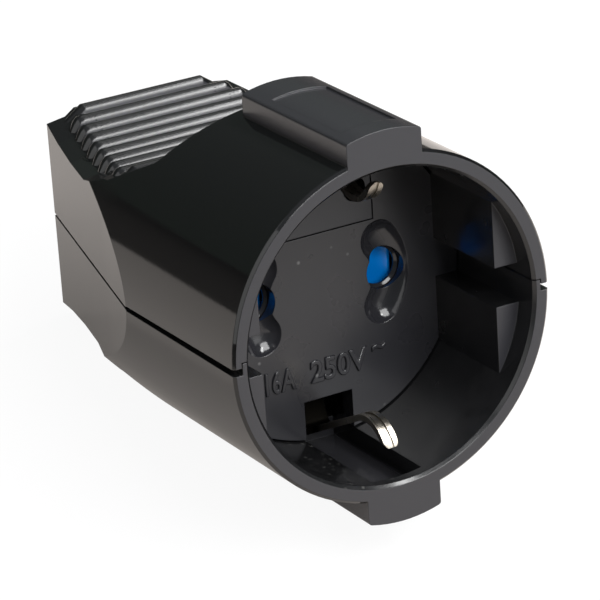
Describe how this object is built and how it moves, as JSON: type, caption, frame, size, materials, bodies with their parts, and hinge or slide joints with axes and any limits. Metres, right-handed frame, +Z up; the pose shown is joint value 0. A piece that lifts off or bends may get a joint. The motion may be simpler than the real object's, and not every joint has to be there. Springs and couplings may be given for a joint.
{
  "type": "trailing power socket",
  "caption": "Trailing earthed mains socket for the end of a cord: black clamshell with a ribbed tapered grip, a round plug well, earth fingers and a sprung blue shutter behind the pin holes.",
  "frame": {"origin": "centre of the round mouth, on the plane of its front edge", "axes": "+X to the right as seen from the mouth, +Z up; the body runs back along +Y and leans down to the rear, because it is stored as it lies on a table"},
  "size_m": [0.0448, 0.0717, 0.0557],
  "materials": {
    "black_shell": "glossy black moulding",
    "black_insert": "satin black moulding",
    "blue_shutter": "glossy blue moulding",
    "nickel": "nickel-plated spring strip",
    "brass": "plain brass",
    "steel": "zinc-plated steel"
  },
  "bodies": {
    "housing": {"upper_shell": "black_shell", "lower_shell": "black_shell", "floor_plate": "black_insert", "contact_base": "black_insert", "cord_clamp_bar": "black_insert", "shutter_spring": "steel", "line_contact": "brass", "neutral_contact": "brass", "line_terminal_screw": "steel", "neutral_terminal_screw": "steel", "earth_bow": "nickel", "earth_terminal": "brass", "earth_terminal_screw": "steel", "base_screw_left": "steel", "base_screw_right": "steel", "clamp_screw_left": "steel", "clamp_screw_right": "steel", "housing_screw_left": "steel", "housing_screw_right": "steel"},
    "shutter": {"shutter_slider": "blue_shutter"}
  },
  "joints": [
    {"name": "shutter_slide", "type": "slide", "parent": "housing", "child": "shutter", "axis": [1, 0, 0], "range_m": [0, 0.0058], "stiffness_N_per_m": 200, "springref_m": -0.003, "deforming": ["shutter_spring"]}
  ]
}
